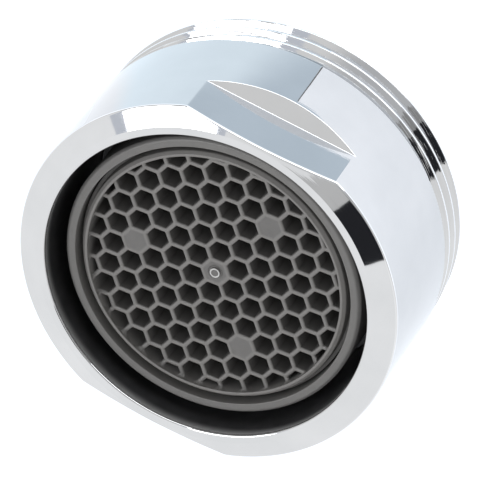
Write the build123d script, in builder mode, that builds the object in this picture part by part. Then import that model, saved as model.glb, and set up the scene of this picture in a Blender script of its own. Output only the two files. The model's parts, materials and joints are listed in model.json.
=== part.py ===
"""Tap aerator for a spout with a fine M24 female thread, in millimetres.

The part stands on its inlet end: Z = 0 is the washer's sealing face, +Z is the way the water leaves,
and the two spanner flats face -Y and +Y.
"""

import os
from math import acos, degrees, radians, sin, sqrt

from build123d import *

os.makedirs("parts", exist_ok=True)

# Housing: male thread, its run-out groove, shoulder, plain body, spanner flats and bevelled lip
thread_diameter = 23.8
thread_length = 3.35
thread_lead_in = 0.4
thread_wall = 1.3
relief_width = 0.75
relief_slope = 0.3
relief_depth = 0.55
shoulder_step = 0.1
shoulder_chamfer = 0.12
body_length = 8.65
flat_depth = 1.05
flat_length = 3.55
flat_runout = 0.6
mouth_wall = 1.8
lip_width = 0.52
bevel_height = 0.45
collar_height = 1.0

# Rubber washer in the inlet
washer_thickness = 2.0
washer_proud = 0.6
washer_width = 2.1
washer_clearance = 0.1

# Insert sleeve, with the air gap between it and the mouth of the housing
air_gap = 0.825
guide_clearance = 0.12
flange_thickness = 1.2
flange_clearance = 0.1
recess_wall = 0.45
chamber_wall = 0.975
outlet_wall = 0.625
chamber_length = 2.2
outlet_recess = 1.27
sleeve_edge = 0.175
window_count = 8
window_width = 3.0
window_height = 1.2

# Pieces stacked in the sleeve
insert_clearance = 0.075
filter_thickness = 0.5
filter_flange_thickness = 0.6
filter_flange_width = 1.25
filter_dome_height = 2.0
filter_hole_diameter = 0.8
filter_hole_spacing = 1.5
jet_plate_thickness = 1.2
jet_rim_height = 0.6
jet_hole_diameter = 0.9
jet_ring_radii = (2.1, 4.2, 6.3)
jet_holes_per_ring = 6
screen_thickness = 0.5
screen_rim_width = 0.8
slot_width = 0.9
slot_spacing = 1.5
spacer_height = 0.4
spacer_width = 0.6

# Honeycomb at the outlet
cell_pitch = 1.5
cell_wall = 0.3
grid_turn = -23.0
grid_face_recess = 0.58
rim_recess = 0.13
groove_depth = 0.93
groove_width = 0.3
rim_draft = 0.27
rim_top_width = 0.15
least_cell_share = 0.2
gate_dimple_diameter = 0.95
gate_dimple_depth = 0.08
gate_nub_diameter = 0.62
gate_nub_height = 0.16
blank_cells = ((0, 0), (2, 2), (-4, 2), (2, -4))

# Radii that follow from the sizes above
thread_radius = thread_diameter / 2
relief_radius = thread_radius - relief_depth
body_radius = thread_radius + shoulder_step
flat_distance = body_radius - flat_depth
inlet_radius = thread_radius - thread_wall
mouth_radius = body_radius - mouth_wall
lip_radius = mouth_radius + lip_width
sleeve_radius = mouth_radius - air_gap
collar_radius = sleeve_radius + guide_clearance
washer_radius = inlet_radius - washer_clearance
flange_radius = inlet_radius - flange_clearance
recess_radius = sleeve_radius - recess_wall
chamber_radius = sleeve_radius - chamber_wall
outlet_radius = sleeve_radius - outlet_wall
jet_radius = recess_radius - insert_clearance
screen_radius = outlet_radius - insert_clearance
rim_base_radius = outlet_radius - groove_width
rim_outer_radius = rim_base_radius - rim_draft
grid_radius = rim_outer_radius - rim_top_width

# Heights that follow from the sizes above, from the sealing face up
thread_end_z = washer_proud
shoulder_z = thread_end_z + thread_length
relief_z = shoulder_z - relief_width
lip_z = shoulder_z + body_length
bevel_z = lip_z - bevel_height
flat_shoulder_z = lip_z - flat_length
flange_z = washer_thickness
collar_z = flange_z + flange_thickness
jet_rim_z = flange_z + filter_flange_thickness
jet_plate_z = jet_rim_z + jet_rim_height
chamber_z = jet_plate_z + jet_plate_thickness
screen_inlet_z = chamber_z + chamber_length
spacer_z = screen_inlet_z + screen_thickness
screen_outlet_z = spacer_z + spacer_height
grid_back_z = screen_outlet_z + screen_thickness
sleeve_front_z = lip_z - outlet_recess
groove_floor_z = sleeve_front_z - groove_depth
rim_z = sleeve_front_z - rim_recess
grid_face_z = sleeve_front_z - grid_face_recess


def hexagon_lattice(pitch, reach):
    """Cell indices and centres of a hexagonal lattice, out to a radius."""
    most = int(reach / pitch / sin(radians(60))) + 1
    cells = {}
    for i in range(-most, most + 1):
        for j in range(-most, most + 1):
            x = pitch * (i + j / 2)
            y = pitch * j * sin(radians(60))
            if sqrt(x**2 + y**2) < reach:
                cells[i, j] = (x, y)
    return cells


# Turned housing: one profile round the axis, then the two flats with their sloping run-outs
with BuildPart() as housing:
    with BuildSketch(Plane.XZ):
        with BuildLine():
            Polyline(
                (inlet_radius, thread_end_z),
                (thread_radius - thread_lead_in, thread_end_z),
                (thread_radius, thread_end_z + thread_lead_in),
                (thread_radius, relief_z),
                (relief_radius, relief_z + relief_slope),
                (relief_radius, shoulder_z),
                (body_radius - shoulder_chamfer, shoulder_z),
                (body_radius, shoulder_z + shoulder_chamfer),
                (body_radius, bevel_z),
                (lip_radius, lip_z),
                (mouth_radius, lip_z),
                (mouth_radius, collar_z + collar_height),
                (collar_radius, collar_z + collar_height),
                (collar_radius, collar_z),
                (inlet_radius, collar_z),
                close=True,
            )
        make_face()
    revolve(axis=Axis.Z)
    with BuildSketch(Plane.YZ):
        with BuildLine():
            Polyline(
                (flat_distance, lip_z),
                (flat_distance, flat_shoulder_z),
                (flat_distance + 2 * flat_depth, flat_shoulder_z - 2 * flat_runout),
                (flat_distance + 2 * flat_depth, lip_z),
                close=True,
            )
        make_face()
        mirror(about=Plane.YZ)
    extrude(amount=body_radius, both=True, mode=Mode.SUBTRACT)

# Flat washer, proud of the thread's end
with BuildPart() as sealing_washer:
    with BuildSketch():
        Circle(washer_radius)
        Circle(washer_radius - washer_width, mode=Mode.SUBTRACT)
    extrude(amount=washer_thickness)

# Strainer: a flange that the washer covers, and a shallow perforated dome towards the inlet
filter_radius = jet_radius - filter_flange_width
dome_radius = (filter_radius**2 + filter_dome_height**2) / (2 * filter_dome_height)
dome_centre_z = jet_rim_z - filter_dome_height + dome_radius
dome_base = dome_centre_z - jet_rim_z
outer_sweep = degrees(acos(dome_base / dome_radius))
inner_sweep = degrees(acos(dome_base / (dome_radius - filter_thickness)))
straight_down = -90

with BuildPart() as filter_screen:
    with BuildSketch(Plane.XZ):
        with BuildLine():
            outside = CenterArc((0, dome_centre_z), dome_radius, straight_down, outer_sweep)
            inside = CenterArc((0, dome_centre_z), dome_radius - filter_thickness, straight_down, inner_sweep)
            Line(outside @ 0, inside @ 0)
            Line(outside @ 1, inside @ 1)
        make_face()
    revolve(axis=Axis.Z)
    with BuildSketch(Plane.XY.offset(flange_z)):
        Circle(jet_radius)
        Circle(filter_radius - filter_thickness, mode=Mode.SUBTRACT)
    extrude(amount=filter_flange_thickness)
    filter_holes = hexagon_lattice(filter_hole_spacing, filter_radius - filter_hole_spacing)
    with BuildSketch():
        with Locations(*filter_holes.values()):
            Circle(filter_hole_diameter / 2)
    extrude(amount=jet_rim_z, mode=Mode.SUBTRACT)

# Plate with rings of small holes, and a rim that carries the strainer
with BuildPart() as jet_former:
    with BuildSketch(Plane.XY.offset(jet_rim_z)):
        Circle(jet_radius)
        Circle(filter_radius, mode=Mode.SUBTRACT)
    extrude(amount=jet_rim_height)
    with BuildSketch(Plane.XY.offset(jet_plate_z)):
        Circle(jet_radius)
        for ring, ring_radius in enumerate(jet_ring_radii, start=1):
            with PolarLocations(ring_radius, ring * jet_holes_per_ring):
                Circle(jet_hole_diameter / 2, mode=Mode.SUBTRACT)
    extrude(amount=jet_plate_thickness)

# Sleeve: flange on the housing's collar, stepped bore, and air windows into the mixing chamber
with BuildPart() as insert_sleeve:
    with BuildSketch(Plane.XZ):
        with BuildLine():
            Polyline(
                (recess_radius, flange_z),
                (flange_radius, flange_z),
                (flange_radius, collar_z),
                (sleeve_radius, collar_z),
                (sleeve_radius, sleeve_front_z - sleeve_edge),
                (sleeve_radius - sleeve_edge, sleeve_front_z),
                (outlet_radius, sleeve_front_z),
                (outlet_radius, screen_inlet_z),
                (chamber_radius, screen_inlet_z),
                (chamber_radius, chamber_z),
                (recess_radius, chamber_z),
                close=True,
            )
        make_face()
    revolve(axis=Axis.Z)
    with BuildSketch(Plane.XY.offset(chamber_z + chamber_length / 2 - window_height / 2)):
        with PolarLocations(sleeve_radius, window_count):
            Rectangle(2 * chamber_wall + outlet_wall, window_width)
    extrude(amount=window_height, mode=Mode.SUBTRACT)


def slotted_disc(base_z, turn):
    """Flat disc with parallel slots inside a plain rim, turned about the axis."""
    slot_reach = screen_radius - screen_rim_width
    slot_count = int(2 * slot_reach / slot_spacing)
    with BuildPart() as disc:
        with BuildSketch(Plane.XY.offset(base_z)):
            Circle(screen_radius)
        extrude(amount=screen_thickness)
        with BuildSketch(Plane.XY.offset(base_z)):
            with Locations(Location((0, 0), turn)):
                with GridLocations(slot_spacing, 0, slot_count, 1):
                    Rectangle(slot_width, 2 * screen_radius)
            Circle(slot_reach, mode=Mode.INTERSECT)
        extrude(amount=screen_thickness, mode=Mode.SUBTRACT)
    return disc


# Two slotted discs with their slots crossed, and the ring that keeps them apart
mixing_screen_inlet = slotted_disc(screen_inlet_z, 0)
mixing_screen_outlet = slotted_disc(screen_outlet_z, 90)

with BuildPart() as mixing_spacer:
    with BuildSketch(Plane.XY.offset(spacer_z)):
        Circle(screen_radius)
        Circle(screen_radius - spacer_width, mode=Mode.SUBTRACT)
    extrude(amount=spacer_height)

# Honeycomb: a disc with a thin raised rim, hexagonal holes, filled cells and the moulding gate's nub
hole_radius = (cell_pitch - cell_wall) / sqrt(3)
cell_reach = grid_radius + cell_pitch * (0.5 - least_cell_share)
grid_cells = hexagon_lattice(cell_pitch, cell_reach)
open_cells = [centre for index, centre in grid_cells.items() if index not in blank_cells]

with BuildPart() as outlet_grid:
    with BuildSketch(Plane.XZ):
        with BuildLine():
            Polyline(
                (0, grid_back_z),
                (screen_radius, grid_back_z),
                (screen_radius, groove_floor_z),
                (rim_base_radius, groove_floor_z),
                (rim_outer_radius, rim_z),
                (grid_radius, rim_z),
                (grid_radius, grid_face_z),
                (0, grid_face_z),
                close=True,
            )
        make_face()
    revolve(axis=Axis.Z)
    with BuildSketch(Plane.XY.offset(grid_back_z)):
        with Locations(Location((0, 0), grid_turn)):
            with Locations(*open_cells):
                RegularPolygon(hole_radius, 6, rotation=30)
        Circle(grid_radius, mode=Mode.INTERSECT)
    extrude(amount=grid_face_z - grid_back_z, mode=Mode.SUBTRACT)
    with BuildSketch(Plane.XY.offset(grid_face_z)):
        Circle(gate_dimple_diameter / 2)
    extrude(amount=-gate_dimple_depth, mode=Mode.SUBTRACT)
    with BuildSketch(Plane.XY.offset(grid_face_z - gate_dimple_depth)):
        Circle(gate_nub_diameter / 2)
    extrude(amount=gate_nub_height)

pieces = {
    "housing": housing,
    "sealing_washer": sealing_washer,
    "filter_screen": filter_screen,
    "jet_former": jet_former,
    "insert_sleeve": insert_sleeve,
    "mixing_screen_inlet": mixing_screen_inlet,
    "mixing_spacer": mixing_spacer,
    "mixing_screen_outlet": mixing_screen_outlet,
    "outlet_grid": outlet_grid,
}
for name, piece in pieces.items():
    piece.part.label = name
    export_step(piece.part, f"parts/{name}.step")
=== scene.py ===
"""Looks of the tap aerator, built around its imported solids.

Lengths of the part are in millimetres up to the point where a mesh is made, and those of the stage are in
metres. Z = 0 is the washer's sealing face and +Z is the way the water leaves, as in the solids.
"""

import json
from math import atan2, ceil, cos, hypot, pi, radians, sin, sqrt, tan

import bmesh
import bpy
import numpy as np
from mathutils import Euler, Matrix, Vector
from mathutils.geometry import delaunay_2d_cdt


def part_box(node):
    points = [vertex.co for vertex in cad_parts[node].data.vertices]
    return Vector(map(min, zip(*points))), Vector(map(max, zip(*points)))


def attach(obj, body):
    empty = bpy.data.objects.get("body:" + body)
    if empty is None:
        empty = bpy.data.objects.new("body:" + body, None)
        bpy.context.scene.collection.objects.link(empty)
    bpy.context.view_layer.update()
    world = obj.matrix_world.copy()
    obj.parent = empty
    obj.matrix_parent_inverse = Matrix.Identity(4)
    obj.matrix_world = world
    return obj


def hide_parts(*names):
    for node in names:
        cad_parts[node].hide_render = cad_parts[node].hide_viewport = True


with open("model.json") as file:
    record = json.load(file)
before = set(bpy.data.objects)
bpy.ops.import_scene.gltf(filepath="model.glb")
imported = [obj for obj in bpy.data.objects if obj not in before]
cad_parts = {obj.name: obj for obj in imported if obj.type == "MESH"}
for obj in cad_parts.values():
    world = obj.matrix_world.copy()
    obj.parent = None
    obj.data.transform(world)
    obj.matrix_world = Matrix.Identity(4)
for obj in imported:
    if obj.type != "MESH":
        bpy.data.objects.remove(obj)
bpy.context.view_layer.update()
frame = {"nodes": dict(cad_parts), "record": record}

MM = 0.001
TINY = 1e-6
TINIEST = 1e-9
FULL_TURN = 2 * pi
BODY = "root"
HIGHLIGHT_ATTRIBUTE = "painted_edge_highlight"


def node_sizes(node):
    """Largest x, lowest z and highest z of a node's solid, in millimetres."""
    low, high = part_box(node)
    return [round(value / MM, 3) for value in (high.x, low.z, high.z)]


MOUNTS = {mount["name"]: mount for mount in frame["record"]["mounts"]}

# Housing
BODY_R, THREAD_END_Z, LIP_Z = node_sizes("housing")
THREAD_R = MOUNTS["thread"]["dims"]["r_mm"]
THREAD_PITCH = 1.0
ROOT_R = 11.35
CREST_Z = 3.07
CREST_AZIMUTH = radians(-90)
# Depth below the crest that is painted lighter, a painted highlight on the thread's crests
CREST_HIGHLIGHT_DEPTH = 0.02
LEAD_IN_R = 11.5
LEAD_IN_Z = 1.0
RELIEF_Z = 3.2
RELIEF_ROOT_Z = 3.5
SHOULDER_Z = 3.95
FLAT_Y = round(abs(MOUNTS["spanner_flat_front"]["pos_m"][1]) / MM, 3)
FLAT_SHOULDER_Z = 9.05
FLAT_EDGE_BLEND = 0.035
# Depth of a flat at which its rounded edges get the whole painted highlight
FLAT_HIGHLIGHT_DEPTH = 0.05
RUNOUT_RISE = 0.6
BEVEL_Z = 12.15
LIP_R = 10.72
MOUTH_R = 10.2
# How far in from the lip the bore is painted lighter, painted light near the mouth
MOUTH_LIGHT_DEPTH = 0.9
COLLAR_TOP_Z = 4.2
COLLAR_Z = 3.2
COLLAR_R = 9.495
INLET_R = 10.6

# Roundings of the housing's edges
GROOVE_ROUND = 0.08
SHOULDER_ROUND = 0.08
FLAT_ROUND = 0.05
BEVEL_ROUND = 0.14
LIP_ROUND = 0.05
MOUTH_ROUND = 0.18
BORE_ROUND = 0.1
COLLAR_ROUND = 0.06
THREAD_END_ROUND = 0.08

# Insert sleeve
FLANGE_R, FLANGE_Z, SLEEVE_FRONT_Z = node_sizes("insert_sleeve")
SLEEVE_R = 9.375
SLEEVE_EDGE = 0.175
# Painted highlight over the sleeve's front, which makes it lighter
FRONT_HIGHLIGHT = 0.9
RECESS_R = 8.925
CHAMBER_R = 8.4
CHAMBER_Z = 4.4
OUTLET_R = 8.75
SCREEN_Z = 6.6
WINDOW_Z = (4.9, 6.1)
WINDOW_COUNT = 8
WINDOW_WIDTH = 3.0
STEP_ROUND = 0.05
FLANGE_ROUND = 0.06
FRONT_ROUND = 0.09
OUTLET_ROUND = 0.07

# Honeycomb
SCREEN_R, GRID_BACK_Z, RIM_Z = node_sizes("outlet_grid")
CELL_PITCH = 1.5
CELL_WALL = 0.3
CELL_ROUND = 0.12
CELL_CORNER_ROUND = 0.05
GRID_TURN = radians(-23)
GRID_R = 8.03
GRID_FACE_Z = 10.75
GROOVE_FLOOR_Z = 10.4
RIM_BASE_R = 8.45
RIM_R = 8.18
RIM_CHAMFER = 0.2
RIM_ROUND = 0.06
RIM_TOP_ROUND = 0.04
RING_ROUND = 0.05
# A cell whose centre is further out would only be a sliver
CELL_REACH = GRID_R + 0.3 * CELL_PITCH
BLANK_CELLS = ((0, 0), (2, 2), (-4, 2), (2, -4))
BLANK_RECESS = 0.03
# Painted highlight on a blank cell's floor, less than on the face
BLANK_HIGHLIGHT = 0.1
BLANK_FLOOR_Z = GRID_FACE_Z - BLANK_RECESS

# Moulding gate in the middle cell: a dimple with a torn-off nub
DIMPLE_R = 0.475
DIMPLE_EDGE = 0.05
DIMPLE_DEPTH = 0.05
DIMPLE_FLOOR_Z = BLANK_FLOOR_Z - DIMPLE_DEPTH
GATE_R = DIMPLE_R + DIMPLE_EDGE
GATE_ROUND = 0.04
NUB_R = 0.34
NUB_HEIGHT = 0.2
NUB_Z = DIMPLE_FLOOR_Z + NUB_HEIGHT
NUB_TAPER = 0.03
NUB_ROUND = 0.06
# Depth below the nub's top that is painted lighter, a painted highlight
NUB_HIGHLIGHT_DEPTH = 0.04
CRATER_R = 0.55 * NUB_R
CRATER_DEPTH = 0.07
CRATER_MIDDLE_DEPTH = 0.05
CRATER_ROUND = 0.05
TORN_R = 0.6 * NUB_R
TORN_DEPTH = 0.075

# Steps round the axis, in degrees
HOUSING_STEP = 1.0
FLAT_EDGE_STEPS = (0.17, 0.35, 0.55, 0.8, 1.1, 1.4)
SLEEVE_STEP = 1.5
RIM_STEP = 1.25
GATE_STEP = 7.5

# Meshes

# Share of an edge that a rounding at its end may take
MOST_CUT = 0.45


class Skin:
    """Points, the painted highlight at each of them, and faces between them, gathered bit by bit.

    Highlight is 1 on the edges and faces that are painted lighter, a painted highlight, and 0 on plain
    faces.
    """

    def __init__(self):
        self.points = []
        self.wear = []
        self.faces = []

    def add(self, points, wear, faces):
        """More points with their painted highlight, and faces that number these points from 0."""
        start = len(self.points)
        self.points.extend(points)
        self.wear.extend(wear)
        self.faces.extend(tuple(start + k for k in face) for face in faces)

    def add_flat(self, loops, z, wear, keep):
        """Level face between closed loops; keep says whether a place is in it."""
        places, triangles = flat_face(loops, keep)
        self.add([(p.x, p.y, z) for p in places], [wear] * len(places), triangles)

    def add_steps(self, outlines, levels, closed):
        """Skin between the outlines of one cell, at levels of (growth, height, painted highlight)."""
        n = len(outlines[0])
        points = [(x, y, z) for outline, (_, z, _) in zip(outlines, levels) for x, y in outline]
        wear = [highlighted for _, _, highlighted in levels for _ in range(n)]
        faces = []
        for k in range(len(levels) - 1):
            for s in range(n if closed else n - 1):
                t = (s + 1) % n
                faces.append((k * n + s, k * n + t, (k + 1) * n + t, (k + 1) * n + s))
        self.add(points, wear, faces)

    def add_turned(self, profile, wear, azimuths):
        """Skin of an open profile of (radius, height, ...) turned round the axis."""
        n = len(profile)
        points = [point_at(p[0], a, p[1]) for a in azimuths for p in profile]
        faces = []
        for i in range(len(azimuths)):
            j = (i + 1) % len(azimuths)
            faces += [(i * n + k, i * n + k + 1, j * n + k + 1, j * n + k) for k in range(n - 1)]
        self.add(points, wear * len(azimuths), faces)


def point_at(r, azimuth, z):
    """Point at a radius, an azimuth and a height."""
    return (r * cos(azimuth), r * sin(azimuth), z)


def every(step):
    """Azimuths round the axis, a step in degrees apart."""
    return np.radians(np.arange(0, 360, step))


def shade_by_area(mesh):
    """Smooth shading that keeps large faces flat: a point's normal follows the largest faces around it."""
    normals = np.zeros((len(mesh.vertices), 3))
    for face in mesh.polygons:
        normals[list(face.vertices)] += np.array(face.normal) * (face.area / MM**2) ** 2
    lengths = np.linalg.norm(normals, axis=1, keepdims=True)
    mesh.polygons.foreach_set("use_smooth", [True] * len(mesh.polygons))
    mesh.normals_split_custom_set_from_vertices(normals / np.maximum(lengths, np.finfo(float).tiny))


def new_piece(name, skin, materials, face_materials=None):
    """Mesh object of a skin, with doubles merged, riding on the body."""
    mesh = bpy.data.meshes.new(name)
    mesh.from_pydata([tuple(c * MM for c in point) for point in skin.points], [], skin.faces)
    # The painted highlight goes on the mesh as a point attribute
    mesh.attributes.new(HIGHLIGHT_ATTRIBUTE, "FLOAT", "POINT").data.foreach_set("value", skin.wear)
    for material in materials:
        mesh.materials.append(material)
    if face_materials is not None:
        mesh.polygons.foreach_set("material_index", face_materials)
    work = bmesh.new()
    work.from_mesh(mesh)
    merge_distance = 2e-4 * MM
    bmesh.ops.remove_doubles(work, verts=work.verts, dist=merge_distance)
    bmesh.ops.dissolve_degenerate(work, edges=work.edges, dist=merge_distance)
    bmesh.ops.recalc_face_normals(work, faces=work.faces)
    work.to_mesh(mesh)
    work.free()
    shade_by_area(mesh)
    piece = bpy.data.objects.new(name, mesh)
    bpy.context.scene.collection.objects.link(piece)
    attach(piece, BODY)
    return piece


def rounded(corners, steps=4):
    """Points (x, y, painted highlight) of a closed polyline, with each corner replaced by a short curve.

    A corner is (x, y, cut) or (x, y, cut, highlight): the curve starts a cut away, and its painted
    highlight is 1 if not given.
    A corner with no cut stays a plain point.
    """
    points = []
    places = [np.array(corner[:2], float) for corner in corners]
    for k, corner in enumerate(corners):
        here = places[k]
        cut = corner[2]
        most_highlight = corner[3] if len(corner) > 3 else 1.0
        if cut == 0:
            points.append((*here, 0.0))
            continue
        before = places[k - 1] - here
        after = places[(k + 1) % len(places)] - here
        start = here + before * min(MOST_CUT, cut / max(np.linalg.norm(before), TINIEST))
        end = here + after * min(MOST_CUT, cut / max(np.linalg.norm(after), TINIEST))
        for t in np.linspace(0, 1, steps + 1):
            place = (1 - t) ** 2 * start + 2 * t * (1 - t) * here + t**2 * end
            points.append((*place, most_highlight * sin(pi * t)))
    return points


def flat_face(loops, keep):
    """Places and triangles of a flat region between closed loops; keep says whether a place is in it."""
    points, edges = [], []
    for loop in loops:
        start = len(points)
        points += [Vector(p) for p in loop]
        edges += [(start + k, start + (k + 1) % len(loop)) for k in range(len(loop))]
    places, _, triangles, *_ = delaunay_2d_cdt(points, edges, [], 0, TINY)
    middles = [sum((places[k] for k in t), Vector((0, 0))) / 3 for t in triangles]
    return places, [t for t, m in zip(triangles, middles) if keep(m.x, m.y)]


def in_outline(outline, x, y):
    """Whether a place is inside a closed outline."""
    crossings = 0
    for (x0, y0), (x1, y1) in zip(outline, outline[1:] + outline[:1]):
        if (y0 > y) != (y1 > y) and x < x0 + (y - y0) * (x1 - x0) / (y1 - y0):
            crossings += 1
    return crossings % 2 == 1


def soft_positive(x, blend):
    """x where it is positive and zero where it is negative, with a short blend between."""
    return (x + sqrt(x * x + blend * blend)) / 2


# Housing: a turned profile round the axis, cut by the two flats, with the thread's helix in the same skin

CREST_HALF = 0.08
CREST_EDGE = 0.035
FLANK_START_DEPTH = 0.03
ROOT_EDGE = 0.05
# How far the thread's eased corners lie from the sharp ones, along the axis and across it
CREST_CORNER = (0.008, 0.006)
ROOT_CORNER = (0.02, 0.01)
THREAD_DEPTH = THREAD_R - ROOT_R
FLANK_SLOPE = tan(radians(30))


def on_flank(depth):
    """Place along the axis and drop from the crest of a point on the thread's straight flank."""
    return CREST_HALF + depth * FLANK_SLOPE, -depth


# One turn's profile as (place along the axis, drop from the crest): first half of it, from the middle of
# the crest to the middle of the root, and then its mirror
THREAD_KEYS = [
    (0.0, 0.0),
    (CREST_HALF - CREST_EDGE, 0.0),
    (CREST_HALF - CREST_CORNER[0], -CREST_CORNER[1]),
    on_flank(FLANK_START_DEPTH),
    on_flank(THREAD_DEPTH / 2),
    on_flank(THREAD_DEPTH - ROOT_EDGE),
    (on_flank(THREAD_DEPTH)[0] + ROOT_CORNER[0], ROOT_CORNER[1] - THREAD_DEPTH),
    (THREAD_PITCH / 2, -THREAD_DEPTH),
]
THREAD_KEYS += [(THREAD_PITCH - u, drop) for u, drop in THREAD_KEYS[-2:0:-1]]
KEY_PLACES = [u for u, _ in THREAD_KEYS] + [THREAD_PITCH]
KEY_DROPS = [drop for _, drop in THREAD_KEYS] + [0.0]

# Places of the housing's materials in its list
PLATE, BORE, THREAD = range(3)
# Sine of an azimuth that is well clear of the flats
CLEAR_OF_FLATS = 0.5


def crest_height(azimuth):
    """Height of the crest's turn that passes CREST_Z at CREST_AZIMUTH."""
    return CREST_Z + THREAD_PITCH * (azimuth - CREST_AZIMUTH) / FULL_TURN


# Turns of the helix in a column, below and above the crest at azimuth 0, and the rings of points they make
TURNS_BELOW = ceil((crest_height(0) - THREAD_END_Z) / THREAD_PITCH + 1)
TURNS_ABOVE = ceil((RELIEF_ROOT_Z - crest_height(0)) / THREAD_PITCH)
THREAD_RINGS = len(THREAD_KEYS) * (TURNS_BELOW + TURNS_ABOVE + 1) + 1


def thread_radius(z, azimuth):
    """Radius of the threaded end at a height: the helix, cut by the lead-in cone and the run-out groove."""
    u = (z - crest_height(azimuth)) % THREAD_PITCH
    helix = THREAD_R + float(np.interp(u, KEY_PLACES, KEY_DROPS))
    lead_in = LEAD_IN_R + (z - THREAD_END_Z) * (THREAD_R - LEAD_IN_R) / (LEAD_IN_Z - THREAD_END_Z)
    relief = THREAD_R - (z - RELIEF_Z) * THREAD_DEPTH / (RELIEF_ROOT_Z - RELIEF_Z)
    return min(helix, lead_in, max(relief, ROOT_R))


def housing_azimuths():
    """Azimuths of the skin's columns, closer together at the edges of the flats."""
    digits = 6
    azimuths = {round(a, digits) for a in every(HOUSING_STEP)}
    edge = np.arccos(FLAT_Y / BODY_R)
    offsets = [0, *FLAT_EDGE_STEPS, *(-step for step in FLAT_EDGE_STEPS)]
    for flat in (radians(90), radians(270)):
        for side in (-edge, edge):
            azimuths |= {round(flat + side + radians(offset), digits) for offset in offsets}
    return sorted(azimuths)


def body_profile(azimuth):
    """Profile from the run-out groove over the outside, the lip and the bore, back to the thread's end."""
    across = abs(sin(azimuth))
    flat_depth = soft_positive(BODY_R - FLAT_Y / max(across, CLEAR_OF_FLATS), FLAT_EDGE_BLEND)
    flat_r = BODY_R - flat_depth
    runout_slope = RUNOUT_RISE / (BODY_R - FLAT_Y)
    runout = soft_positive(BODY_R * across - FLAT_Y, FLAT_EDGE_BLEND) * runout_slope
    bevel_slope = (LIP_Z - BEVEL_Z) / (BODY_R - LIP_R)
    flat_highlight = min(1.0, flat_depth / FLAT_HIGHLIGHT_DEPTH)
    # Corners (radius, height, cut, painted highlight): a rounded corner without a 0 is painted lighter, a
    # painted highlight
    return [
        (ROOT_R, RELIEF_ROOT_Z, 0),
        (ROOT_R, SHOULDER_Z, GROOVE_ROUND, 0),
        (BODY_R, SHOULDER_Z, SHOULDER_ROUND),
        (BODY_R, FLAT_SHOULDER_Z - runout, FLAT_ROUND, flat_highlight),
        (flat_r, FLAT_SHOULDER_Z, FLAT_ROUND, flat_highlight),
        (flat_r, BEVEL_Z + flat_depth * bevel_slope, BEVEL_ROUND),
        (LIP_R, LIP_Z, LIP_ROUND, 0),
        (MOUTH_R, LIP_Z, MOUTH_ROUND, 0),
        (MOUTH_R, COLLAR_TOP_Z, BORE_ROUND, 0),
        (COLLAR_R, COLLAR_TOP_Z, BORE_ROUND, 0),
        (COLLAR_R, COLLAR_Z, COLLAR_ROUND, 0),
        (INLET_R, COLLAR_Z, BORE_ROUND, 0),
        (INLET_R, THREAD_END_Z, THREAD_END_ROUND, 0),
        (LEAD_IN_R, THREAD_END_Z, 0),
    ]


def thread_column(azimuth):
    """Points (radius, height, painted highlight) up the threaded end, on rings that rise with the helix."""
    lowest = crest_height(azimuth) - THREAD_PITCH * TURNS_BELOW
    column = []
    for k in range(THREAD_RINGS):
        turn, key = divmod(k, len(THREAD_KEYS))
        z = lowest + THREAD_PITCH * turn + THREAD_KEYS[key][0]
        z = min(max(z, THREAD_END_Z), RELIEF_ROOT_Z)
        r = thread_radius(z, azimuth)
        column.append((r, z, float(r > THREAD_R - CREST_HIGHLIGHT_DEPTH)))
    return column


def housing_faces(columns, profile):
    """Faces between a number of columns of points, and the place of each face's material."""
    count = len(profile)
    in_bore = [r < INLET_R + TINY and z < LIP_Z - MOUTH_ROUND + TINY for r, z, _ in profile]
    faces, face_materials = [], []
    for i in range(columns):
        at_seam = i == columns - 1
        here = i * count
        there = 0 if at_seam else here + count
        for k in range(count):
            m = (k + 1) % count
            on_thread = k < THREAD_RINGS - 1
            low, high = k, m
            if at_seam and on_thread:
                # Once round, the helix has risen by a turn, so its rings join those of the next turn
                low, high = (min(n + len(THREAD_KEYS), THREAD_RINGS - 1) for n in (k, m))
            faces.append((here + k, here + m, there + high, there + low))
            plain = BORE if in_bore[k] and in_bore[m] else PLATE
            face_materials.append(THREAD if on_thread else plain)
    return faces, face_materials


def build_housing(materials):
    """Columns of points round the axis, each with the thread first and then the body."""
    azimuths = housing_azimuths()
    points, wear = [], []
    for azimuth in azimuths:
        profile = thread_column(azimuth) + rounded(body_profile(azimuth))[1:-1]
        points += [point_at(r, azimuth, z) for r, z, _ in profile]
        wear += [highlighted for _, _, highlighted in profile]
    faces, face_materials = housing_faces(len(azimuths), profile)
    skin = Skin()
    skin.add(points, wear, faces)
    shell = new_piece("housing_shell", skin, materials, face_materials)
    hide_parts("housing")


# Insert sleeve: a turned profile with air windows through its wall

WINDOW_HALF = WINDOW_WIDTH / 2 / SLEEVE_R
WINDOW_MIDDLES = [FULL_TURN * n / WINDOW_COUNT for n in range(WINDOW_COUNT)]
SLEEVE_PROFILE = rounded([
    (RECESS_R, FLANGE_Z, STEP_ROUND),
    (FLANGE_R, FLANGE_Z, FLANGE_ROUND),
    (FLANGE_R, COLLAR_Z, FLANGE_ROUND),
    (SLEEVE_R, COLLAR_Z, FLANGE_ROUND),
    (SLEEVE_R, WINDOW_Z[0], 0),
    (SLEEVE_R, WINDOW_Z[1], 0),
    (SLEEVE_R, SLEEVE_FRONT_Z - SLEEVE_EDGE, FRONT_ROUND),
    (SLEEVE_R - SLEEVE_EDGE, SLEEVE_FRONT_Z, FRONT_ROUND),
    (OUTLET_R, SLEEVE_FRONT_Z, OUTLET_ROUND),
    (OUTLET_R, SCREEN_Z, STEP_ROUND),
    (CHAMBER_R, SCREEN_Z, STEP_ROUND),
    (CHAMBER_R, WINDOW_Z[1], 0),
    (CHAMBER_R, WINDOW_Z[0], 0),
    (CHAMBER_R, CHAMBER_Z, STEP_ROUND),
    (RECESS_R, CHAMBER_Z, STEP_ROUND),
])


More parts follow.
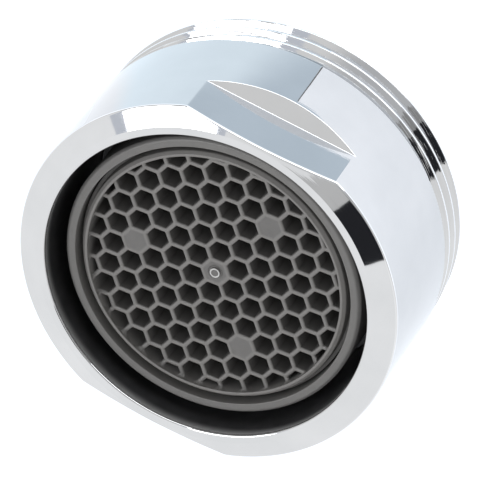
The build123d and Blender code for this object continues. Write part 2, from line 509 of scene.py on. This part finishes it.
def sleeve_ring(r, z):
    """Number of the profile's point at a radius and a height."""
    return next(k for k, p in enumerate(SLEEVE_PROFILE) if hypot(p[0] - r, p[1] - z) < TINY)


def sleeve_angles():
    """Azimuths of the sleeve's columns: even steps, and the sides of the windows."""
    digits = 6
    sides = [middle + side for middle in WINDOW_MIDDLES for side in (-WINDOW_HALF, WINDOW_HALF)]
    angles = {round(a % FULL_TURN, digits) for a in sides}
    return sorted(angles | {round(a, digits) for a in every(SLEEVE_STEP)})


def in_window(a, b):
    """Whether the step from one azimuth to the next lies in a window."""
    place = (a + b) / 2 if b > a else (a + b + FULL_TURN) / 2
    return any(abs((place - middle + pi) % FULL_TURN - pi) < WINDOW_HALF for middle in WINDOW_MIDDLES)


def sleeve_faces(angles):
    """Faces between the columns, with the windows left open and their walls added."""
    rings = len(SLEEVE_PROFILE)
    outer_low, outer_high = (sleeve_ring(SLEEVE_R, z) for z in WINDOW_Z)
    inner_low, inner_high = (sleeve_ring(CHAMBER_R, z) for z in WINDOW_Z)
    faces = []
    open_before = in_window(angles[-1], angles[0])
    for i in range(len(angles)):
        j = (i + 1) % len(angles)
        here, there = i * rings, j * rings
        is_open = in_window(angles[i], angles[j])
        for k in range(rings):
            m = (k + 1) % rings
            if is_open and k in (outer_low, inner_high):
                continue
            faces.append((here + k, here + m, there + m, there + k))
        if is_open:
            for outer, inner in ((outer_low, inner_low), (outer_high, inner_high)):
                faces.append((here + outer, there + outer, there + inner, here + inner))
        if is_open != open_before:
            faces.append(tuple(here + k for k in (outer_low, outer_high, inner_high, inner_low)))
        open_before = is_open
    return faces


def build_sleeve(materials):
    """Turned sleeve, with its front and rounded edges painted lighter, a painted highlight."""
    angles = sleeve_angles()
    points = [point_at(r, a, z) for a in angles for r, z, _ in SLEEVE_PROFILE]
    front = SLEEVE_FRONT_Z - SLEEVE_EDGE
    wear = [max(highlighted, FRONT_HIGHLIGHT * (z > front)) for _, z, highlighted in SLEEVE_PROFILE]
    skin = Skin()
    skin.add(points, wear * len(angles), sleeve_faces(angles))
    sleeve = new_piece("insert_sleeve_ring", skin, materials)
    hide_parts("insert_sleeve")


# Honeycomb: flat face, rounded cell edges, walls, raised rim and the moulding gate's nub

HOLE_R = (CELL_PITCH - CELL_WALL) / sqrt(3)
# A place this close to a cell's edge counts as outside the cell
CELL_MARGIN = 1e-4

# Growth of a cell's outline, height and painted highlight, from the face down over the rounded edge to the
# back: the face and the edge are painted lighter than the walls in the cells
LEVELS = [
    (CELL_ROUND * (1 - sin(a)), GRID_FACE_Z - CELL_ROUND * (1 - cos(a)), cos(a))
    for a in np.radians([0, 30, 60, 90])
]
LEVELS.append((0.0, GRID_BACK_Z, 0.0))

# The same for a blank cell, from the face down to its shallow floor, which has little of the painted
# highlight
BLANK_LEVELS = [
    (CELL_ROUND * (1 - way), GRID_FACE_Z - BLANK_RECESS * way, 1 - (1 - BLANK_HIGHLIGHT) * way)
    for way in (1 - np.cos(np.radians([0, 45, 90, 135, 180]))) / 2
]


def cell_centres():
    """Centres of the open cells and of the blank ones."""
    cells, blanks = [], []
    row = CELL_PITCH * sin(radians(60))
    most = int(CELL_REACH / row) + 1
    for i in range(-most, most + 1):
        for j in range(-most, most + 1):
            x, y = CELL_PITCH * (i + j / 2), row * j
            if hypot(x, y) < CELL_REACH:
                turned_x = x * cos(GRID_TURN) - y * sin(GRID_TURN)
                turned_y = x * sin(GRID_TURN) + y * cos(GRID_TURN)
                (blanks if (i, j) in BLANK_CELLS else cells).append((turned_x, turned_y))
    return cells, blanks


def hexagon(centre, grow):
    """Corners of a cell's outline, grown outwards."""
    r = HOLE_R + grow / cos(radians(30))
    turns = [GRID_TURN + radians(30 + 60 * k) for k in range(6)]
    return [(centre[0] + r * cos(a), centre[1] + r * sin(a)) for a in turns]


def circle_hit(p, q):
    """Point where the edge from p to q crosses the grid's circle."""
    p, q = np.array(p), np.array(q)
    d = q - p
    a, b, c = d @ d, 2 * p @ d, p @ p - GRID_R**2
    root = sqrt(b * b - 4 * a * c)
    t = next(s for s in ((-b - root) / (2 * a), (-b + root) / (2 * a)) if -TINIEST <= s <= 1 + TINIEST)
    return tuple(p + t * d)


def cell_outline(centre, grow):
    """(outline, whether the rim cuts it): a whole cell's closed outline, or a cut one's open chain."""
    corners = hexagon(centre, grow)
    inside = [hypot(*p) < GRID_R - TINY for p in corners]
    if all(inside):
        chain = [(x, y, CELL_CORNER_ROUND) for x, y in corners]
    else:
        k = next(k for k in range(6) if not inside[k - 1] and inside[k])
        chain = [(*circle_hit(corners[k - 1], corners[k]), 0)]
        while inside[k % 6]:
            chain.append((*corners[k % 6], CELL_CORNER_ROUND))
            k += 1
        chain.append((*circle_hit(corners[(k - 1) % 6], corners[k % 6]), 0))
    return [p[:2] for p in rounded(chain, steps=2)], not all(inside)


def in_cell(centre, grow, x, y):
    """Whether a place is inside a cell's outline, grown outwards."""
    apothem = HOLE_R * cos(radians(30)) + grow
    turns = [GRID_TURN + radians(60 * k) for k in range(6)]
    return all((x - centre[0]) * cos(a) + (y - centre[1]) * sin(a) < apothem for a in turns)


def cells_by_kind():
    """Whole, cut and blank cells, each as (centre, outlines at its levels)."""
    open_centres, blank_centres = cell_centres()
    whole, cut = [], []
    for centre in open_centres:
        outlines, is_cut = zip(*(cell_outline(centre, grow) for grow, _, _ in LEVELS))
        if len({len(outline) for outline in outlines}) > 1:
            raise ValueError(f"the cell at {centre} is cut at some levels only")
        (cut if is_cut[0] else whole).append((centre, outlines))
    blanks = []
    for centre in blank_centres:
        blanks.append((centre, [cell_outline(centre, grow)[0] for grow, _, _ in BLANK_LEVELS]))
    return whole, cut, blanks


def add_blank_cells(skin, blanks):
    """Shallow recesses of the blank cells, the middle one open where the moulding gate goes."""
    gate_edge = [point_at(GATE_R, a, 0)[:2] for a in every(GATE_STEP)]
    for centre, outlines in blanks:
        skin.add_steps(outlines, BLANK_LEVELS, closed=True)
        edge = outlines[-1]
        holes = [gate_edge] if hypot(*centre) < TINY else []

        def on_floor(x, y):
            return in_outline(edge, x, y) and not any(in_outline(hole, x, y) for hole in holes)

        skin.add_flat([edge, *holes], BLANK_FLOOR_Z, BLANK_HIGHLIGHT, on_floor)


def on_circle(azimuth):
    """Place on the grid's circle."""
    return (GRID_R * cos(azimuth), GRID_R * sin(azimuth))


def rim_ends(cut):
    """(starts, stops, outlines) of each cut cell, going round: its azimuths on the rim at each level."""

    def azimuths_of(outlines, end):
        return [atan2(outline[end][1], outline[end][0]) % FULL_TURN for outline in outlines]

    ends = [(azimuths_of(outlines, -1), azimuths_of(outlines, 0), outlines) for _, outlines in cut]
    return sorted(ends, key=lambda end: end[0][0])


def rim_azimuths(ends):
    """Azimuths of the rim's columns: even steps, and every place where a cut cell meets the rim."""
    digits = 7
    azimuths = {round(a, digits) for starts, stops, _ in ends for a in starts + stops}
    return sorted(azimuths | {round(a, digits) for a in every(RIM_STEP)})


def between(azimuths, a, b):
    """Azimuths from a to b, both included, going round."""
    span = (b - a) % FULL_TURN
    inner = [c for c in azimuths if TINY < (c - a) % FULL_TURN < span - TINY]
    return [a, *sorted(inner, key=lambda c: (c - a) % FULL_TURN), b]


def add_grid_faces(skin, whole, cut, blanks, ends, azimuths):
    """Front and back faces between the cells."""
    for level, holes in ((0, whole + blanks), (len(LEVELS) - 1, whole)):
        grow, z, highlighted = LEVELS[level]
        outer = []
        for n, (_, stops, outlines) in enumerate(ends):
            next_start = ends[(n + 1) % len(ends)][0][level]
            outer += outlines[level][::-1][:-1]
            outer += [on_circle(a) for a in between(azimuths, stops[level], next_start)][:-1]
        centres = [centre for centre, _ in holes + cut]

        def on_face(x, y):
            near = [c for c in centres if hypot(x - c[0], y - c[1]) < CELL_PITCH]
            return hypot(x, y) < GRID_R and not any(in_cell(c, grow - CELL_MARGIN, x, y) for c in near)

        skin.add_flat([outer] + [outlines[level] for _, outlines in holes], z, highlighted, on_face)


def add_rim_wall(skin, ends, azimuths):
    """Inner wall of the rim, down to the face between the cells and to the back inside the cut cells."""
    last_stop, first_start = ends[-1][1][0], ends[0][0][0]
    gap_middle = (last_stop + (first_start - last_stop) % FULL_TURN / 2) % FULL_TURN
    seam = min(azimuths, key=lambda a: abs(a - gap_middle))
    lower = []
    before = seam
    for starts, stops, _ in sorted(ends, key=lambda end: (end[0][0] - seam) % FULL_TURN):
        lower += [(a, GRID_FACE_Z) for a in between(azimuths, before, starts[0])]
        lower += [(starts[k], LEVELS[k][1]) for k in range(1, len(LEVELS))]
        lower += [(a, GRID_BACK_Z) for a in between(azimuths, starts[-1], stops[-1])[1:-1]]
        lower += [(stops[k], LEVELS[k][1]) for k in range(len(LEVELS) - 1, 0, -1)]
        before = stops[0]
    lower += [(a, GRID_FACE_Z) for a in between(azimuths, before, seam)]

    # The wall unrolled: way round from the seam, and height
    ways = [(a - seam) % FULL_TURN for a, _ in lower]
    ways[-1] = FULL_TURN
    top_ways = sorted((a - seam) % FULL_TURN for a in azimuths if abs(a - seam) > TINIEST)
    outline = [(way * GRID_R, z) for way, (_, z) in zip(ways, lower)]
    outline += [(way * GRID_R, RIM_Z - RIM_ROUND) for way in (FULL_TURN, *reversed(top_ways), 0.0)]
    places, triangles = flat_face([outline], lambda x, y: in_outline(outline, x, y))
    skin.add([(*on_circle(p.x / GRID_R + seam), p.y) for p in places], [0.0] * len(places), triangles)


def add_rim(skin, azimuths):
    """Top of the rim, groove, outer wall and back of the ring."""
    profile = rounded([
        (GRID_R, GRID_FACE_Z, 0),
        (GRID_R, RIM_Z, RIM_ROUND),
        (RIM_R, RIM_Z, RIM_TOP_ROUND),
        (RIM_R + RIM_CHAMFER, RIM_Z - RIM_CHAMFER, RIM_ROUND),
        (RIM_BASE_R, GROOVE_FLOOR_Z, RING_ROUND),
        (SCREEN_R, GROOVE_FLOOR_Z, RING_ROUND),
        (SCREEN_R, GRID_BACK_Z, RING_ROUND),
        (GRID_R, GRID_BACK_Z, 0),
    ])[1:]
    # The rim's top is painted lighter, a painted highlight
    skin.add_turned(profile, [float(z > RIM_Z - RIM_CHAMFER) for _, z, _ in profile], azimuths)


def add_gate(skin):
    """Dimple and cratered nub of the moulding gate. Gives back the numbers of the torn ring's faces, which
    are painted light, a painted highlight.
    """
    profile = rounded([
        (GATE_R, BLANK_FLOOR_Z, 0),
        (DIMPLE_R, BLANK_FLOOR_Z, GATE_ROUND),
        (DIMPLE_R - DIMPLE_EDGE, DIMPLE_FLOOR_Z, GATE_ROUND),
        (NUB_R, DIMPLE_FLOOR_Z, GATE_ROUND),
        (NUB_R - NUB_TAPER, NUB_Z, NUB_ROUND),
        (CRATER_R, NUB_Z - CRATER_DEPTH, CRATER_ROUND),
        (0.0, NUB_Z - CRATER_MIDDLE_DEPTH, 0),
    ], steps=3)
    first = len(skin.faces)
    skin.add_turned(profile, [float(z > NUB_Z - NUB_HIGHLIGHT_DEPTH) for _, z, _ in profile], every(GATE_STEP))

    def is_torn(point):
        x, y, z = point
        return z > NUB_Z - TORN_DEPTH and hypot(x, y) > TORN_R

    new_faces = range(first, len(skin.faces))
    return {k for k in new_faces if all(is_torn(skin.points[n]) for n in skin.faces[k])}


def build_grid(materials):
    """Cells, faces, rim and moulding gate in one skin."""
    skin = Skin()
    whole, cut, blanks = cells_by_kind()
    for cells, closed in ((whole, True), (cut, False)):
        for _, outlines in cells:
            skin.add_steps(outlines, LEVELS, closed)
    add_blank_cells(skin, blanks)
    ends = rim_ends(cut)
    azimuths = rim_azimuths(ends)
    add_grid_faces(skin, whole, cut, blanks, ends, azimuths)
    add_rim_wall(skin, ends, azimuths)
    add_rim(skin, azimuths)
    torn = add_gate(skin)
    # The torn ring's faces take the second material, a painted highlight
    face_materials = [int(k in torn) for k in range(len(skin.faces))]
    grid = new_piece("honeycomb", skin, materials, face_materials)
    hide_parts("outlet_grid")


# Nodes of the materials, with scales per metre and distances in metres

TONE_STOPS = (0.3, 0.7)


def node_material(name, **values):
    """Material with one Principled shader, its plain values set, and its node tree."""
    material = bpy.data.materials.new(name)
    material.use_nodes = True
    shader = material.node_tree.nodes["Principled BSDF"]
    for socket, value in values.items():
        shader.inputs[socket.replace("_", " ")].default_value = value
    return material, material.node_tree, shader


def place_socket(tree):
    """Place on the object, in metres."""
    return tree.nodes.new("ShaderNodeTexCoord").outputs["Object"]


def noise(tree, scale, detail=3.0, vector=None):
    """Noise over the place on the object, or over another vector."""
    if vector is None:
        vector = place_socket(tree)
    texture = tree.nodes.new("ShaderNodeTexNoise")
    texture.inputs["Scale"].default_value = scale
    texture.inputs["Detail"].default_value = detail
    tree.links.new(vector, texture.inputs["Vector"])
    return texture.outputs["Fac"]


def two_tone(tree, value, dark, light):
    """Colour that goes from dark to light over the middle of a noise's range."""
    node = tree.nodes.new("ShaderNodeValToRGB")
    for stop, position, colour in zip(node.color_ramp.elements, TONE_STOPS, (dark, light)):
        stop.position = position
        stop.color = (*colour, 1)
    tree.links.new(value, node.inputs["Fac"])
    return node.outputs["Color"]


def map_range(tree, value, low, high):
    """Value from low to high as the given one goes from 0 to 1."""
    node = tree.nodes.new("ShaderNodeMapRange")
    node.inputs["To Min"].default_value = low
    node.inputs["To Max"].default_value = high
    tree.links.new(value, node.inputs["Value"])
    return node.outputs["Result"]


def smooth_step(tree, value, low, high):
    """Value from 0 to 1, smooth at both ends, as the given one goes from low to high."""
    node = tree.nodes.new("ShaderNodeMapRange")
    node.interpolation_type = "SMOOTHSTEP"
    node.inputs["From Min"].default_value = low
    node.inputs["From Max"].default_value = high
    tree.links.new(value, node.inputs["Value"])
    return node.outputs["Result"]


def along(tree, vector, axis, low, high):
    """Value from 0 to 1, smooth at both ends, as a vector's share along an axis goes from low to high."""
    share = tree.nodes.new("ShaderNodeVectorMath")
    share.operation = "DOT_PRODUCT"
    share.inputs[1].default_value = axis
    tree.links.new(vector, share.inputs[0])
    return smooth_step(tree, share.outputs["Value"], low, high)


def mix(tree, factor, a, b):
    """Colour that goes from a to b; each is a socket or a plain colour."""
    node = tree.nodes.new("ShaderNodeMix")
    node.data_type = "RGBA"
    tree.links.new(factor, node.inputs["Factor"])
    colours = [socket for socket in node.inputs if socket.type == "RGBA"]
    for socket, colour in zip(colours, (a, b)):
        if isinstance(colour, tuple):
            socket.default_value = (*colour, 1)
        else:
            tree.links.new(colour, socket)
    return next(socket for socket in node.outputs if socket.type == "RGBA")


def faded(tree, vector, colour, fades):
    """Colour with others laid over it, each as (axis, (start, end), colour): it comes in along its axis."""
    for axis, span, laid_over in fades:
        colour = mix(tree, along(tree, vector, axis, *span), colour, laid_over)
    return colour


def radius_and_height(tree):
    """Distance from the axis and height, as two sockets."""
    split = tree.nodes.new("ShaderNodeSeparateXYZ")
    tree.links.new(place_socket(tree), split.inputs["Vector"])
    across = tree.nodes.new("ShaderNodeCombineXYZ")
    tree.links.new(split.outputs["X"], across.inputs["X"])
    tree.links.new(split.outputs["Y"], across.inputs["Y"])
    radius = tree.nodes.new("ShaderNodeVectorMath")
    radius.operation = "LENGTH"
    tree.links.new(across.outputs["Vector"], radius.inputs[0])
    return radius.outputs["Value"], split.outputs["Z"]


def turning_marks(tree, scale):
    """Noise that is the same all round the axis, like the marks of a lathe."""
    radius, height = radius_and_height(tree)
    turned = tree.nodes.new("ShaderNodeCombineXYZ")
    tree.links.new(radius, turned.inputs["X"])
    tree.links.new(height, turned.inputs["Z"])
    return noise(tree, scale, detail=2.0, vector=turned.outputs["Vector"])


def drawn_out_marks(tree, scale, stretch):
    """Noise drawn out across the axis, so that it makes long streaks round a thread."""
    squeeze = tree.nodes.new("ShaderNodeVectorMath")
    squeeze.operation = "MULTIPLY"
    squeeze.inputs[1].default_value = (1 / stretch, 1 / stretch, 1)
    tree.links.new(place_socket(tree), squeeze.inputs[0])
    return noise(tree, scale, detail=3.0, vector=squeeze.outputs["Vector"])


def bump(tree, shader, height, strength, distance):
    """Bump on top of the bumps that the shader already has."""
    node = tree.nodes.new("ShaderNodeBump")
    node.inputs["Strength"].default_value = strength
    node.inputs["Distance"].default_value = distance
    tree.links.new(height, node.inputs["Height"])
    for link in list(shader.inputs["Normal"].links):
        tree.links.new(link.from_socket, node.inputs["Normal"])
    tree.links.new(node.outputs["Normal"], shader.inputs["Normal"])


def painted_highlight_mask(tree, scale):
    """Painted highlight of edges and faces from the mesh, broken up by noise."""
    attribute = tree.nodes.new("ShaderNodeAttribute")
    attribute.attribute_name = HIGHLIGHT_ATTRIBUTE
    product = tree.nodes.new("ShaderNodeMath")
    product.operation = "MULTIPLY"
    tree.links.new(attribute.outputs["Fac"], product.inputs[0])
    tree.links.new(map_range(tree, noise(tree, scale, detail=4), low=0.7, high=1.1), product.inputs[1])
    return product.outputs["Value"]


# Materials

PLATE_COLOURS = ((0.55, 0.555, 0.56), (0.59, 0.593, 0.597))
# Lighter plate where the mesh marks a painted highlight
PLATE_HIGHLIGHT = (0.8, 0.81, 0.82)
# Bore painted dark, a painted shade, and lighter near the mouth, painted light
BORE_SHADE_COLOURS = ((0.14, 0.14, 0.146), (0.2, 0.2, 0.208))
BORE_MOUTH_LIGHT = (0.75, 0.755, 0.76)
MOUTH_LIGHT_Z = ((LIP_Z - MOUTH_LIGHT_DEPTH) * MM, LIP_Z * MM)


def chrome(name):
    """Polished plate with faint smears, a painted highlight that makes its edges and crests lighter, and
    slight marks of the lathe.
    """
    material, tree, shader = node_material(name, Metallic=1.0)
    smears = two_tone(tree, noise(tree, scale=260, detail=4), *PLATE_COLOURS)
    tree.links.new(mix(tree, painted_highlight_mask(tree, scale=900), smears, PLATE_HIGHLIGHT), shader.inputs["Base Color"])
    tree.links.new(map_range(tree, noise(tree, scale=420), low=0.02, high=0.05), shader.inputs["Roughness"])
    bump(tree, shader, noise(tree, scale=350, detail=2), strength=0.05, distance=0.0001)
    bump(tree, shader, turning_marks(tree, scale=4500), strength=0.09, distance=0.000012)
    return material


def thread_finish():
    """The same plate over the streaks that the thread's cutting left."""
    material = chrome("chrome_plate_on_thread")
    tree = material.node_tree
    streaks = drawn_out_marks(tree, scale=9000, stretch=40)
    bump(tree, tree.nodes["Principled BSDF"], streaks, strength=0.36, distance=0.00003)
    return material


def shaded_bore_finish():
    """Inside of the shell: dark with a fine grain, a painted shade, and painted lighter for a short way in
    from the mouth, where light falls in.
    """
    material, tree, shader = node_material("bore_painted_shade", Metallic=1.0)
    dark = two_tone(tree, noise(tree, scale=700, detail=4), *BORE_SHADE_COLOURS)
    near_mouth = along(tree, place_socket(tree), (0, 0, 1), *MOUTH_LIGHT_Z)
    tree.links.new(mix(tree, near_mouth, dark, BORE_MOUTH_LIGHT), shader.inputs["Base Color"])
    tree.links.new(map_range(tree, near_mouth, low=0.42, high=0.5), shader.inputs["Roughness"])
    bump(tree, shader, noise(tree, scale=5000, detail=2), strength=0.1, distance=0.00002)
    return material


def plastic(name, dark, light, highlighted, grain=6000.0, roughness=(0.42, 0.58)):
    """Moulded plastic or rubber with a mottled colour, a fine grain, and a lighter colour where the mesh
    marks a painted highlight.
    """
    material, tree, shader = node_material(name, IOR=1.5)
    plain = two_tone(tree, noise(tree, scale=1800, detail=5), dark, light)
    tree.links.new(mix(tree, painted_highlight_mask(tree, scale=2600), plain, highlighted), shader.inputs["Base Color"])
    tree.links.new(map_range(tree, noise(tree, scale=2500), *roughness), shader.inputs["Roughness"])
    bump(tree, shader, noise(tree, scale=grain, detail=2), strength=0.12, distance=0.00002)
    return material


grey_plastic = plastic(
    "grey_moulded_plastic",
    dark=(0.092, 0.089, 0.086),
    light=(0.11, 0.107, 0.103),
    highlighted=(0.19, 0.184, 0.176),
)
grid_plastic = plastic(
    "grey_honeycomb_plastic",
    dark=(0.134, 0.129, 0.124),
    light=(0.152, 0.147, 0.141),
    highlighted=(0.216, 0.207, 0.197),
)
# Light plastic on the torn ring round the gate's nub: a painted highlight
gate_highlight_plastic = plastic(
    "torn_gate_painted_highlight",
    dark=(0.55, 0.55, 0.54),
    light=(0.66, 0.66, 0.65),
    highlighted=(0.7, 0.7, 0.69),
)
white_plastic = plastic(
    "white_moulded_plastic",
    dark=(0.66, 0.66, 0.64),
    light=(0.74, 0.74, 0.72),
    highlighted=(0.78, 0.78, 0.76),
)
rubber = plastic(
    "black_rubber",
    dark=(0.018, 0.018, 0.018),
    light=(0.03, 0.03, 0.03),
    highlighted=(0.04, 0.04, 0.04),
    grain=3500.0,
    roughness=(0.65, 0.8),
)
chrome_plate = chrome("chrome_plate")

build_housing([chrome_plate, shaded_bore_finish(), thread_finish()])
build_sleeve([grey_plastic])
build_grid([grid_plastic, gate_highlight_plastic])

NODE_MATERIALS = {
    "sealing_washer": rubber,
    "filter_screen": white_plastic,
    "jet_former": white_plastic,
    "mixing_screen_inlet": grey_plastic,
    "mixing_spacer": grey_plastic,
    "mixing_screen_outlet": grey_plastic,
    "housing": chrome_plate,
    "insert_sleeve": grey_plastic,
    "outlet_grid": grid_plastic,
}
for node, material in NODE_MATERIALS.items():
    for material_slot in frame["nodes"][node].material_slots:
        material_slot.material = material

# Floor, in metres as the rest of the stage

FLOOR_HALF = 3.0
FLOOR_CORNERS = [(FLOOR_HALF * x, FLOOR_HALF * y, 0) for x, y in ((-1, -1), (1, -1), (1, 1), (-1, 1))]
FLOOR_COLOUR = (0.59, 0.6, 0.61)
FLOOR_GLOW = (0.66, 0.70, 0.76)
FLOOR_FADES = [((0, -1, 0), (-0.004, 0.015), (0.90, 0.94, 1.01))]
DARK_R = (0.0095, 0.0115)
WHITE = (1.0, 1.0, 1.0)


def at_height(outline, z):
    """Corners of a level panel."""
    return [(x, y, z) for x, y in outline]


def new_panel(name, corners, material):
    """Flat panel of the stage through its corners."""
    mesh = bpy.data.meshes.new(name)
    mesh.from_pydata(corners, [], [tuple(range(len(corners)))])
    mesh.materials.append(material)
    panel = bpy.data.objects.new(name, mesh)
    bpy.context.scene.collection.objects.link(panel)
    return panel


def matt_material(name, colour, glow=1.0, tint=WHITE):
    """Matt stage material that also gives off some light of its own."""
    material, tree, shader = node_material(name, Roughness=0.9, Specular_IOR_Level=0.0)
    shader.inputs["Base Color"].default_value = (*colour, 1)
    shader.inputs["Emission Color"].default_value = (*tint, 1)
    shader.inputs["Emission Strength"].default_value = glow
    return material, tree, shader


def floor_material():
    """Pale matt floor that glows a little more in front of the part and not at all under it."""
    material, tree, shader = matt_material("pale_floor", FLOOR_COLOUR)
    colour = faded(tree, place_socket(tree), FLOOR_GLOW, FLOOR_FADES)
    radius, _ = radius_and_height(tree)
    colour = mix(tree, smooth_step(tree, radius, *DARK_R), (0, 0, 0), colour)
    tree.links.new(colour, shader.inputs["Emission Color"])
    return material


new_panel("floor", FLOOR_CORNERS, floor_material())

# Cards above the part, which its plate mirrors: a softbox in a grey frame, a black card with a grey edge
# along its side, and a dim card between the two

CARD_Z = 0.5
EDGE_Z = 0.503
FRAME_Z = 0.505
SOFTBOX = [(0.145, 0.016), (0.302, 0.135), (0.575, -0.085), (0.206, -0.262)]
SOFTBOX_FRAME = [(0.133, 0.012), (0.335, 0.168), (0.64, -0.09), (0.14, -0.3)]
BLACK_CARD = [(-0.074, 0.044), (-0.152, 0.132), (-0.2, 0.11)]
BLACK_CARD += [(-0.395, -0.014), (-0.42, -0.05), (-0.3, -0.16)]
DIM_CARD = [(-0.074, 0.044), (-0.02, 0.03), (0.025, 0.005)]
DIM_CARD += [(0.01, -0.025), (-0.07, -0.015), (-0.11, 0.012)]
CARD_EDGE = [(-0.3, -0.16), (-0.11, 0.012), (-0.07, -0.015), (-0.245, -0.195)]
CLOTH = (0.8, 0.8, 0.8)
DARK = (0.02, 0.02, 0.02)
BLACK = (0.02, 0.02, 0.022)
FRAME_TINT = (1, 1.05, 1.16)


def new_card(name, corners, colour, glow, tint=WHITE, material_name=None):
    """Card of one colour and glow, which only its reflections and its light show."""
    material, _, _ = matt_material(material_name or name, colour, glow, tint)
    card = new_panel(name, corners, material)
    card.visible_camera = False
    return card


softbox = new_card("softbox", at_height(SOFTBOX, CARD_Z), CLOTH, glow=8.0, material_name="softbox_cloth")
new_card("softbox_frame", at_height(SOFTBOX_FRAME, FRAME_Z), DARK, glow=0.76, tint=FRAME_TINT)
new_card("black_card", at_height(BLACK_CARD, CARD_Z), BLACK, glow=0.0)
new_card("dim_card", at_height(DIM_CARD, EDGE_Z), DARK, glow=0.74)
new_card("card_edge", at_height(CARD_EDGE, EDGE_Z), DARK, glow=0.35)

# Strip of cloth that stands upright in front

STRIP_Y = -0.6
STRIP = [(x, STRIP_Y, z) for x, z in ((-0.45, 0.05), (0.35, 0.05), (0.35, 0.35), (-0.45, 0.35))]
front_strip = new_card("front_strip", STRIP, CLOTH, glow=2.2, material_name="front_strip_cloth")

# Grey blue sheet that lies round the front of the part, seen only in the plate's reflections: painted shade
# of the floor in front of the part, with a painted dark line along its cut edge

SHEET_Z = 0.0001
SHEET_R = 0.0126
SHEET_ARC = np.radians(np.linspace(-89.8, 0, 24))
SHEET = [(SHEET_R * cos(a), SHEET_R * sin(a)) for a in SHEET_ARC]
SHEET += [(0.034, 0.0), (0.034, -0.031), (-0.0038, -0.031), (-0.0038, -0.0179), (0.0005, -0.0179)]
SHEET_EDGE = [(0.0, -0.0142), (0.00012, -0.0142), (0.00057, -0.0178), (0.00045, -0.0178)]
GREY_BLUE = (0.71, 0.83, 0.95)
PALE_BLUE = (1.07, 1.22, 1.34)
FLOOR_BESIDE = (1.13, 1.17, 1.23)
FLOOR_IN_FRONT = (1.5, 1.56, 1.64)
SHEET_AXIS = (0.5, 0.866, 0)
SHEET_FADES = [
    (SHEET_AXIS, (-0.0135, -0.008), PALE_BLUE),
    (SHEET_AXIS, (0.002, 0.0055), FLOOR_BESIDE),
    ((1, 0, 0), (0.018, 0.032), FLOOR_BESIDE),
    ((0, -1, 0), (0.0215, 0.03), FLOOR_IN_FRONT),
]


def shade_sheet_material():
    """Glowing sheet of painted shade that goes from grey blue to pale blue, and at its sides to the floor's
    brightness.
    """
    material, tree, shader = node_material("grey_blue_painted_shade", Roughness=0.9, Emission_Strength=1.0)
    shader.inputs["Base Color"].default_value = (0, 0, 0, 1)
    colour = faded(tree, place_socket(tree), GREY_BLUE, SHEET_FADES)
    tree.links.new(colour, shader.inputs["Emission Color"])
    return material


shade_sheet = new_panel("painted_floor_shade", at_height(SHEET, SHEET_Z), shade_sheet_material())
shade_sheet.visible_camera = False
# Dark line seen only in reflections: a painted dark line in the plate
painted_dark_line = new_card("painted_dark_line", at_height(SHEET_EDGE, 2 * SHEET_Z), DARK, glow=0.2)
for mirrored_only in (softbox, front_strip, shade_sheet, painted_dark_line):
    mirrored_only.visible_diffuse = False
    mirrored_only.visible_shadow = False

# Light of the room: bright behind the part and dim in front of it, with a bright horizon and a dim patch
# overhead

UP_BEHIND = (0, 0.707, 0.707)
DOWN_IN_FRONT = (0, -0.707, -0.707)
DOWN = (0, 0, -1)
OVERHEAD = (-0.25, -0.33, 0.91)
ROOM_FADES = [
    (UP_BEHIND, (0.4, 0.8), (1.26, 1.272, 1.29)),
    (DOWN_IN_FRONT, (-0.36, 0.15), (0.28, 0.28, 0.28)),
    (DOWN, (-0.2, -0.06), (1.15, 1.15, 1.15)),
    (OVERHEAD, (0.925, 0.985), (0.70, 0.71, 0.73)),
]

world = bpy.data.worlds.new("studio")
bpy.context.scene.world = world
world.use_nodes = True
room = world.node_tree
towards = room.nodes.new("ShaderNodeTexCoord").outputs["Generated"]
light = faded(room, towards, WHITE, ROOM_FADES)
room.links.new(light, room.nodes["Background"].inputs["Color"])

# Camera, with its turn in degrees

CAMERA_PLACE = (-0.038153, -0.179615, 0.242322)
CAMERA_TURN = (-31.99533, 21.58616, -161.48965)

camera_data = bpy.data.cameras.new("camera")
camera_data.sensor_width = 36
camera_data.lens = 375
camera_data.clip_start = 0.01
camera = bpy.data.objects.new("camera", camera_data)
turn = Euler([radians(angle) for angle in CAMERA_TURN])
camera.matrix_world = Matrix.Translation(CAMERA_PLACE) @ turn.to_matrix().to_4x4()
bpy.context.scene.collection.objects.link(camera)
bpy.context.scene.camera = camera
bpy.context.scene.view_settings.view_transform = "Standard"
